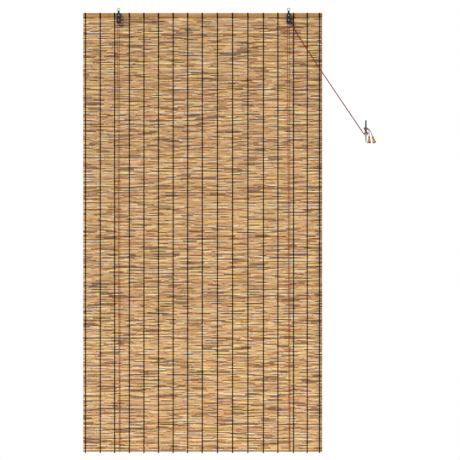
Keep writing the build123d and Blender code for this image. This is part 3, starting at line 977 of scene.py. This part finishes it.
def wraps(parts, x):
    """Turns of yarn side by side round the batten."""
    steps = np.linspace(0, 1, WRAP_TURNS * WRAP_STEPS + 1)
    angles = 2 * math.pi * WRAP_TURNS * steps
    cos, sin = np.cos(angles), np.sin(angles)
    y = (BATTEN_HALF_DEPTH + WRAP_RADIUS) * np.sign(cos) * np.abs(cos) ** WRAP_SQUARENESS
    z = (BATTEN_HALF_HEIGHT + WRAP_RADIUS) * np.sign(sin) * np.abs(sin) ** WRAP_SQUARENESS
    spread = (WRAP_WIDTH - 2 * WRAP_RADIUS) * (steps - 0.5)
    places = np.stack([x + spread, BATTEN_CENTRE.y + y, BATTEN_CENTRE.z + z], axis=1)
    parts.strand(places, path_rings(places, WRAP_RADIUS, YARN_SIDES))


def rod_loop(parts, x):
    """The last turn of a thread round the bottom rod, open at the top."""
    radius = ROD_RADIUS + STITCH_HALF_DEPTH
    angles = np.linspace(ROD_LOOP_OPENING, 2 * math.pi - ROD_LOOP_OPENING, ROD_LOOP_STEPS) + math.pi / 2
    y = MAT_MIDDLE + radius * np.cos(angles)
    z = ROD_MIDDLE + radius * np.sin(angles)
    places = np.stack([np.full(ROD_LOOP_STEPS, x), y, z], axis=1)
    parts.strand(places, path_rings(places, STITCH_HALF_DEPTH, YARN_SIDES, STITCH_HALF_WIDTH))


def bottom_knot(parts, x):
    """A coil of yarn below the rod with two cut ends."""
    drop = KNOT_COIL_RADIUS + KNOT_SEAT_SHARE * KNOT_YARN_RADIUS
    centre = np.array([x, MAT_MIDDLE, ROD_LOW.z - drop])
    steps = np.linspace(0, 1, KNOT_STEPS * KNOT_TURNS)
    angles = 2 * math.pi * KNOT_TURNS * steps + rng.uniform(0, 2 * math.pi)
    bulge = KNOT_COIL_RADIUS * (KNOT_END_SHARE + (1 - KNOT_END_SHARE) * np.sin(math.pi * steps))
    coil = [KNOT_LENGTH * (steps - 0.5), bulge * np.cos(angles), bulge * np.sin(angles)]
    places = centre + np.stack(coil, axis=1)
    parts.strand(places, path_rings(places, KNOT_YARN_RADIUS, YARN_SIDES))
    radii = TAIL_YARN_SHARE * KNOT_YARN_RADIUS * np.array([1.0, 1.0, TAIL_TIP_SHARE])
    for side in (-1, 1):
        lean = side * rng.uniform(*TAIL_LEANS)
        fall = TAIL_FALL * rng.uniform(*TAIL_FALL_SHARES)
        start = centre + (side * TAIL_SPREAD, 0.0, 0.0)
        middle = start + (lean, 0.0, -fall / 2)
        tail = np.array([start, middle, start + (TAIL_CURL_SHARE * lean, 0.0, -fall)])
        parts.strand(tail, path_rings(tail, radii, YARN_SIDES))


def warp_threads(middles, heights):
    """Each warp thread: two strands down the mat, the wraps, the loop round the rod and the knot."""
    yarn = yarn_material()
    for number in range(1, THREAD_COUNT + 1):
        node = f"warp_thread_{number:02d}"
        low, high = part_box(node)
        x = (low.x + high.x) / 2
        parts = MeshParts()
        for phase in (0, 1):
            stitches(parts, x, middles, heights, phase)
        wraps(parts, x)
        rod_loop(parts, x)
        bottom_knot(parts, x)
        parts.piece(f"thread_{number:02d}", yarn, "warp_thread", node)


def cane_stations(left, right, internode):
    """Places along a cane and a mask of its nodes."""
    first = left + rng.uniform(*CANE_FIRST_NODE_SHARES) * internode
    node_places = np.arange(first, right - CANE_END_MARGIN, internode)
    node_places = node_places + rng.uniform(-CANE_NODE_SCATTER, CANE_NODE_SCATTER, len(node_places))
    places = set(np.linspace(left, right, CANE_STATIONS))
    for node in node_places:
        places |= {node + share * CANE_NODE_HALF_LENGTH for share in CANE_NODE_SHARES}
    x = np.array(sorted(places))
    return x, node_mask(x, node_places, CANE_NODE_HALF_LENGTH)


def batten_section():
    """The slat's section, as y and z from its middle: flat back, slightly crowned front and round edges."""
    outline = []
    for corner, (y_side, z_side) in enumerate(((1, 1), (-1, 1), (-1, -1), (1, -1))):
        for step in np.linspace(0, math.pi / 2, BATTEN_EDGE_POINTS):
            angle = corner * math.pi / 2 + step
            outline.append((
                y_side * (BATTEN_HALF_DEPTH - BATTEN_EDGE) + BATTEN_EDGE * math.cos(angle),
                z_side * (BATTEN_HALF_HEIGHT - BATTEN_EDGE) + BATTEN_EDGE * math.sin(angle),
            ))
        if corner == 1:
            crown_y = -BATTEN_HALF_DEPTH - BATTEN_CROWN
            crown_z = BATTEN_CROWN_SHARE * BATTEN_HALF_HEIGHT
            outline += [(crown_y, crown_z), (crown_y, -crown_z)]
    return np.array(outline)


def head_batten():
    """The bamboo slat, with nodes that stand out on its front."""
    y, z = batten_section().T
    x, mask = cane_stations(BATTEN_LOW.x, BATTEN_HIGH.x, BATTEN_INTERNODE)
    rings = np.empty((len(x), len(y), 3))
    rings[..., 0] = x[:, None]
    rings[..., 1] = BATTEN_CENTRE.y + y - CANE_NODE_SWELL * mask[:, None] * (y < 0)
    rings[..., 2] = BATTEN_CENTRE.z + z
    parts = MeshParts()
    # The crown mask marks the front strip that gets a painted highlight.
    parts.tube(rings, node_ring=mask[:, None], crown=y < y.min() + BATTEN_CROWN / 2)
    bamboo = cane_material("golden_bamboo", srgb(194, 150, 96), srgb(168, 112, 44), srgb(128, 78, 22))
    parts.piece("bamboo_batten", bamboo, "bamboo", "head_batten")


def bottom_rod():
    """The round cane that closes the mat at its foot."""
    x, mask = cane_stations(ROD_LOW.x, ROD_HIGH.x, ROD_INTERNODE)
    radius = ROD_RADIUS + CANE_NODE_SWELL * mask
    parts = MeshParts()
    parts.tube(oval_rings(x, MAT_MIDDLE, ROD_MIDDLE, radius, radius, ROD_SIDES), node_ring=mask[:, None])
    cane = cane_material("brown_cane", srgb(194, 146, 90), srgb(168, 120, 66), srgb(128, 86, 44))
    parts.piece("cane_rod", cane, "bamboo", "bottom_rod")


def dress_nodes():
    """Materials of the CAD pieces whose shape stays."""
    paint = paint_material()
    nylon = nylon_material()
    bright = metal_material("bright_nickel", srgb(164, 166, 170), srgb(104, 106, 112), roughness=0.24)
    worn = metal_material("worn_nickel", srgb(132, 134, 138), srgb(60, 62, 66), roughness=0.3)
    # The cleat's height span, over which painted shade darkens the zinc upwards.
    span = [corner.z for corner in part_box("cleat")]
    zinc = metal_material("zinc_plate", srgb(188, 193, 197), srgb(84, 88, 93), roughness=0.34, painted_shade_span=span)
    looks = {"cleat": zinc, "cord_guide_pin": bright}
    for side in ("left", "right"):
        low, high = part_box(f"{side}_tassel")
        looks[f"{side}_tassel"] = tassel_material(f"{side}_turned_wood", low.z, high.z)
        looks[f"{side}_pulley_bracket"] = paint
        looks[f"{side}_sheave"] = nylon
        looks[f"{side}_hanging_eye"] = worn
        for part in ("axle_rivet", "bracket_screw", "spacer_bush", "cord_staple"):
            looks[f"{side}_{part}"] = bright
    for name, material in looks.items():
        mesh = nodes[name].data
        mesh.materials.clear()
        mesh.materials.append(material)


def camera():
    """A long lens, square to the front of the blind."""
    data = bpy.data.cameras.new("camera")
    data.lens = CAMERA_LENS
    data.sensor_width = CAMERA_SENSOR
    data.clip_end = CAMERA_REACH
    holder = bpy.data.objects.new("camera", data)
    holder.location = CAMERA_PLACE
    holder.rotation_euler = (math.pi / 2, 0.0, 0.0)
    bpy.context.scene.collection.objects.link(holder)
    bpy.context.scene.camera = holder


def hang_lamp(data, place, target):
    """Puts a lamp at one place and points it at another."""
    lamp = bpy.data.objects.new(data.name, data)
    lamp.location = place
    lamp.rotation_euler = (Vector(target) - Vector(place)).to_track_quat("-Z", "Y").to_euler()
    bpy.context.scene.collection.objects.link(lamp)


def sun_light(name, place, target, strength, angle):
    """Light that comes from one side with fairly sharp shadows."""
    data = bpy.data.lights.new(name, "SUN")
    data.energy = strength
    data.angle = angle
    hang_lamp(data, place, target)


def area_light(name, place, target, size, power):
    """A soft square lamp."""
    data = bpy.data.lights.new(name, "AREA")
    data.shape = "SQUARE"
    data.size = size
    data.energy = power
    hang_lamp(data, place, target)


def world_light():
    """A soft grey sky that looks white to the camera and in reflections."""
    world = bpy.data.worlds.new("studio")
    world.use_nodes = True
    bpy.context.scene.world = world
    tree = world.node_tree
    path = tree.nodes.new("ShaderNodeLightPath")
    seen = path.outputs["Is Camera Ray"]
    for output in ("Is Glossy Ray", "Is Transmission Ray"):
        either = tree.nodes.new("ShaderNodeMath")
        either.operation = "MAXIMUM"
        tree.links.new(seen, either.inputs[0])
        tree.links.new(path.outputs[output], either.inputs[1])
        seen = either.outputs[0]
    strength = tree.nodes.new("ShaderNodeMapRange")
    tree.links.new(seen, strength.inputs["Value"])
    strength.inputs["To Min"].default_value = SKY_LIGHT
    strength.inputs["To Max"].default_value = 1.0
    background = tree.nodes["Background"]
    background.inputs["Color"].default_value = (1.0, 1.0, 1.0, 1.0)
    tree.links.new(strength.outputs["Result"], background.inputs["Strength"])


def floor():
    """A pale square below the blind that takes its shadow."""
    half = FLOOR_SIZE / 2
    corners = [(-half, -half, 0), (half, -half, 0), (half, half, 0), (-half, half, 0)]
    mesh = bpy.data.meshes.new("floor")
    mesh.from_pydata(corners, [], [(0, 1, 2, 3)])
    piece = bpy.data.objects.new("floor", mesh)
    piece.location = (0.0, 0.0, -FLOOR_DROP)
    bpy.context.scene.collection.objects.link(piece)
    look = Look("pale_floor")
    cloud = look.noise(look.place(), scale=1.5)
    colour = look.ramp(cloud, [(0.3, srgb(236, 236, 234)), (0.7, srgb(240, 240, 238))])
    mesh.materials.append(look.finish(Base_Color=colour, Roughness=0.9))


camera()
lift_cords()
reed_middles, reed_sizes = reed_heights()
reed_mat(reed_middles, reed_sizes)
warp_threads(reed_middles, reed_sizes)
head_batten()
bottom_rod()
dress_nodes()
world_light()
floor()
sun_light("key", KEY_PLACE, KEY_TARGET, KEY_STRENGTH, KEY_ANGLE)
area_light("fill", FILL_PLACE, FILL_TARGET, FILL_SIZE, FILL_POWER)
area_light("back", BACK_PLACE, BACK_TARGET, BACK_SIZE, BACK_POWER)
bpy.context.scene.view_settings.view_transform = "Standard"
